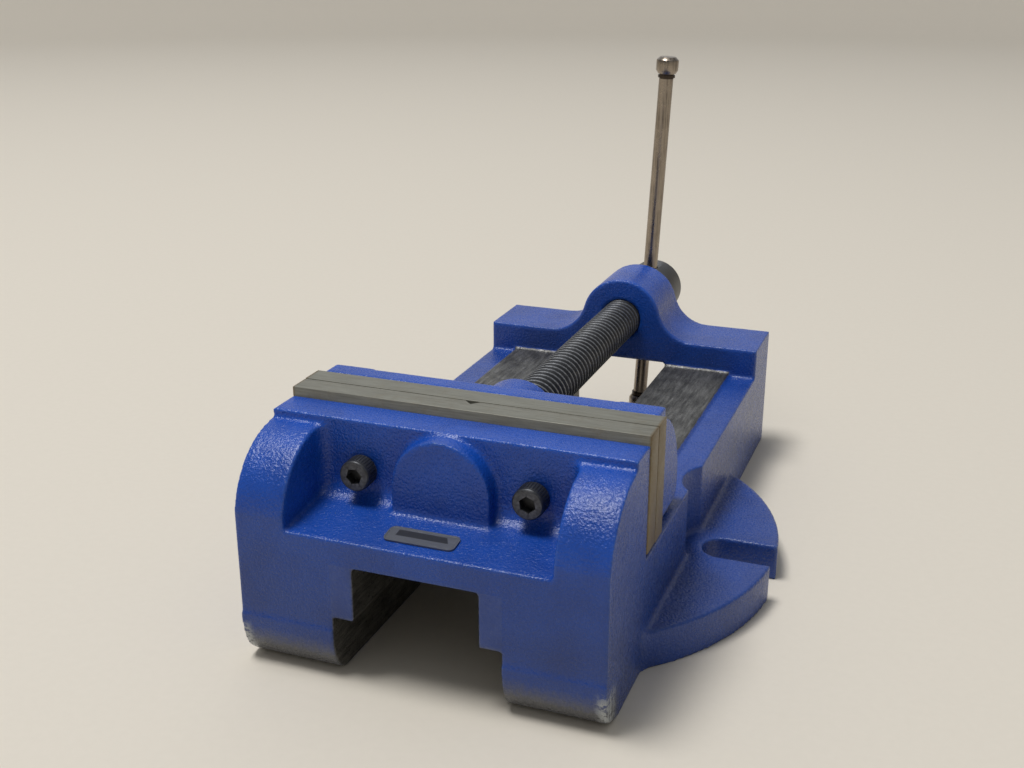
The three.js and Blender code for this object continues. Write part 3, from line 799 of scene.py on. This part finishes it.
# ---- T-bar --------------------------------------------------------------------------------
class VISE_OT_handle(bpy.types.Operator):
    """Make the T-bar and its two end knobs"""
    bl_idname = "vise.handle"
    bl_label = "T-bar and knobs"

    def execute(self, context):
        material = zinc_material("Zinc-plated drawn steel", tuple(colours().zinc))
        # a dark zinc material, used as painted shade in the gap at the knobs' necks
        neck_shade = zinc_material("Zinc plate, painted shade at the neck", tuple(colours().zinc_streak_and_neck_shade))
        lean = joint_axis("handle_slide")
        low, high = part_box("handle_bar")
        middle = (low + high) / 2
        half = ((high.z - low.z) / 2 - 4 * MM * abs(lean.x)) / lean.z       # its length along its lean
        r = 3.97 * MM
        profile = [(0, -half), (r - 0.5 * MM, -half), (r, -half + 0.5 * MM), (r, half - 0.5 * MM),
                   (r - 0.5 * MM, half), (0, half)]
        bar = turned("drawn_t_bar", profile, tuple(middle), tuple(lean), steps=48)
        smooth(bar, 40)
        hand_over(bar, "handle", "plated_steel", material, "handle_bar")

        # a knob: a collar on the bar, a groove, then the barrel with its chamfered face
        reach, neck_shade_length = 11.8 * MM, 2.8 * MM
        barrel, collar, groove, bore, start = 6.15 * MM, 4.75 * MM, 4.08 * MM, 4.02 * MM, -reach / 2
        profile = [(bore, start), (4.05 * MM, start + 0.5 * MM), (collar, start + 0.6 * MM),
                   (collar, start + 2.0 * MM), (groove, start + 2.1 * MM), (groove, start + 2.6 * MM),
                   (collar + 0.1 * MM, start + 2.7 * MM),
                   (barrel - 0.1 * MM, start + 4.4 * MM), (barrel, start + 4.7 * MM),
                   (barrel, -start - 2.0 * MM), (barrel - 0.15 * MM, -start - 1.6 * MM),
                   (barrel - 1.7 * MM, -start - 0.1 * MM), (barrel - 1.9 * MM, -start), (0, -start),
                   (0, -start - 2.0 * MM), (bore, -start - 2.0 * MM), (bore, start)]
        for node, sign in (("handle_knob_upper", 1), ("handle_knob_lower", -1)):
            low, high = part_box(node)
            middle = (low + high) / 2
            axis = lean * sign
            knob = turned("turned_" + node, profile, tuple(middle), tuple(axis), steps=48)
            smooth(knob, 24)
            hand_over(knob, "handle", "plated_steel", material, node)
            # the knob's end next to the bar takes the dark zinc as painted shade in the gap at its neck
            knob.data.materials.append(neck_shade)
            for face in knob.data.polygons:
                along = (face.center - middle).dot(axis)
                face.material_index = 1 if along < start + neck_shade_length else 0
        return {"FINISHED"}


# ---- label plate --------------------------------------------------------------------------
class VISE_OT_label(bpy.types.Operator):
    """Make the plain label plate in the pocket"""
    bl_idname = "vise.label"
    bl_label = "Label plate"

    def execute(self, context):
        c = colours()
        lip = 0.12 * MM                     # how far the field is pressed in below the rim

        def on_top(centre, normal):
            return normal.z > 0.9

        piece = cad_copy("label_plate", "pressed_label_plate")
        select_only(piece)
        faces(piece, on_top)
        bpy.ops.mesh.inset(thickness=sizes().label_rim, depth=0.0)
        bpy.ops.mesh.inset(thickness=lip, depth=-lip)
        bpy.ops.object.mode_set(mode="OBJECT")
        low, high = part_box("label_plate")
        middle = (low + high) / 2
        plain = label_material("Satin aluminium label", tuple(c.label), tuple(c.label_dull), 0.75)
        ink = label_material("Screened dark ink on aluminium", tuple(c.label_band), tuple(c.black), 0.2)
        hand_over(piece, "base", "label_metal", plain, "label_plate")
        piece.data.materials.append(ink)

        # a plain dark band across the upper part of the field, slanting at its right end
        left, right = middle.x - 10.6 * MM, middle.x + 10.6 * MM
        bottom, top = middle.y - 0.9 * MM, middle.y + 2.9 * MM
        for point, across in (((0, bottom, 0), (0, 1, 0)), ((0, top, 0), (0, 1, 0)),
                              ((left, 0, 0), (1, 0, 0)), ((right, middle.y, 0), (1, 0.5, 0))):
            faces(piece, on_top)
            bpy.ops.mesh.bisect(plane_co=point, plane_no=across)
            bpy.ops.object.mode_set(mode="OBJECT")
        for face in piece.data.polygons:
            x, y = face.center.x, face.center.y
            in_band = left < x and x + 0.5 * (y - middle.y) < right and bottom < y < top
            face.material_index = 1 if in_band and on_top(face.center, face.normal) else 0
        return {"FINISHED"}


# ---- hardware that hardly shows -----------------------------------------------------------
class VISE_OT_hardware(bpy.types.Operator):
    """Finish the keeper, its bolts and washers, and the screw's ring and washer"""
    bl_idname = "vise.hardware"
    bl_label = "Keeper and small hardware"

    def execute(self, context):
        black = black_oxide_material("Black oxide steel, hardware", 0.8)
        plate = bpy.data.materials[PLATE_STEEL]
        for node in ("keeper_plate", "keeper_bolt_left", "keeper_bolt_right", "keeper_washer_left",
                     "keeper_washer_right", "screw_retaining_ring", "screw_thrust_washer"):
            piece = frame["nodes"][node]
            piece.data.materials.clear()
            piece.data.materials.append(plate if node == "screw_thrust_washer" else black)
            add_modifier(piece, "WELD", merge_threshold=NEAR)
            add_modifier(piece, "DECIMATE", decimate_type="DISSOLVE", angle_limit=math.radians(0.5))
            if node == "screw_retaining_ring":
                continue                            # stamped, so its edges stay sharp
            edge_break = 0.15 * MM if "washer" in node else 0.4 * MM
            add_modifier(piece, "BEVEL", width=edge_break, segments=2, limit_method="ANGLE",
                         angle_limit=math.radians(40))
        return {"FINISHED"}


# ---- studio -------------------------------------------------------------------------------
def area_light(name, place, aim, size, watts):
    """A rectangular light that the camera doesn't see, turned towards its aim."""
    data = bpy.data.lights.new(name, "AREA")
    data.shape = "RECTANGLE"
    data.size, data.size_y = size
    data.energy = watts
    lamp = bpy.data.objects.new(name, data)
    lamp.visible_camera = False
    lamp.location = place
    lamp.rotation_euler = (Vector(aim) - Vector(place)).to_track_quat("-Z", "Y").to_euler()
    bpy.context.collection.objects.link(lamp)


class VISE_OT_studio(bpy.types.Operator):
    """Set the pale floor, the soft room, its one light and the camera"""
    bl_idname = "vise.studio"
    bl_label = "Studio"

    def execute(self, context):
        # a round paper sweep: a flat floor that curls up into a low wall all round
        flat, bend = 3.0, 0.8
        curl = rounded(flat, 0, flat + bend, bend, count=8)
        floor = turned("paper_sweep", [(0, 0)] + curl, (0, 0, 0), (0, 0, 1), steps=96)
        smooth(floor)
        floor.data.materials.append(floor_material())

        # a soft ceiling that is brightest straight above, and a pale wall behind
        world = bpy.data.worlds.new("Soft room")
        world.use_nodes = True
        tree, sky = world.node_tree, world.node_tree.nodes["Background"].inputs
        way = add(tree, "TexCoord", {})["Generated"]
        up = add(tree, "SeparateXYZ", {"Vector": way})["Z"]
        height = add(tree, "Math", {"operation": "MAXIMUM", 0: up, 1: 0.0})[0]
        glow = add(tree, "Math", {"operation": "POWER", 0: height, 1: 1.8})[0]
        ceiling = add(tree, "MapRange", {"Value": glow, "To Min": 0.16, "To Max": 0.46})[0]
        rear = add(tree, "VectorMath", {"operation": "DOT_PRODUCT", 0: way, 1: (-0.34, 0.90, 0.27)})["Value"]
        wall = add(tree, "MapRange", {"Value": rear, "From Min": 0.72, "From Max": 1.0, "To Max": 0.62})[0]
        sky["Color"].default_value = linear("#eef1f5")
        tree.links.new(add(tree, "Math", {0: ceiling, 1: wall})[0], sky["Strength"])
        context.scene.world = world
        area_light("overhead panel", place=(-0.95, -0.50, 4.0), aim=(-0.02, -0.06, 0.05), size=(1.50, 1.15),
                   watts=115.0)

        data = bpy.data.cameras.new("Camera")
        data.lens = 44.5
        data.sensor_width = 36
        data.clip_start = 0.01
        data.dof.use_dof = False
        camera = bpy.data.objects.new("Camera", data)
        camera.location = (0.18287, -0.54743, 0.27802)
        aim = camera.location + Vector((-0.33599, 0.87833, -0.34007))
        camera.rotation_euler = (aim - camera.location).to_track_quat("-Z", "Y").to_euler()
        context.collection.objects.link(camera)
        context.scene.camera = camera
        context.scene.view_settings.view_transform = "Standard"
        return {"FINISHED"}


class VISE_PT_panel(bpy.types.Panel):
    """Lists the vise's making steps"""
    bl_idname = "VISE_PT_panel"
    bl_label = "Drill press vise"
    bl_space_type = "VIEW_3D"
    bl_region_type = "UI"
    bl_category = "Vise"

    def draw(self, context):
        for group in (context.scene.vise_sizes, context.scene.vise_colours):
            for key in group.bl_rna.properties.keys():
                if key not in ("rna_type", "name"):
                    self.layout.prop(group, key)
        for step in STEPS:
            self.layout.operator(step.bl_idname)


STEPS = (VISE_OT_base_casting, VISE_OT_moving_jaw, VISE_OT_jaw_plates, VISE_OT_plate_screws,
         VISE_OT_lead_screw, VISE_OT_handle, VISE_OT_label, VISE_OT_hardware, VISE_OT_studio)
CLASSES = (ViseSizes, ViseColours) + STEPS + (VISE_PT_panel,)


def register():
    for cls in CLASSES:
        bpy.utils.register_class(cls)
    bpy.types.Scene.vise_sizes = bpy.props.PointerProperty(type=ViseSizes)
    bpy.types.Scene.vise_colours = bpy.props.PointerProperty(type=ViseColours)


def unregister():
    del bpy.types.Scene.vise_colours
    del bpy.types.Scene.vise_sizes
    for cls in reversed(CLASSES):
        bpy.utils.unregister_class(cls)


def main():
    register()
    bpy.ops.vise.base_casting()
    bpy.ops.vise.moving_jaw()
    bpy.ops.vise.jaw_plates()
    bpy.ops.vise.plate_screws()
    bpy.ops.vise.lead_screw()
    bpy.ops.vise.handle()
    bpy.ops.vise.label()
    bpy.ops.vise.hardware()
    bpy.ops.vise.studio()


if __name__ == "__main__":
    main()
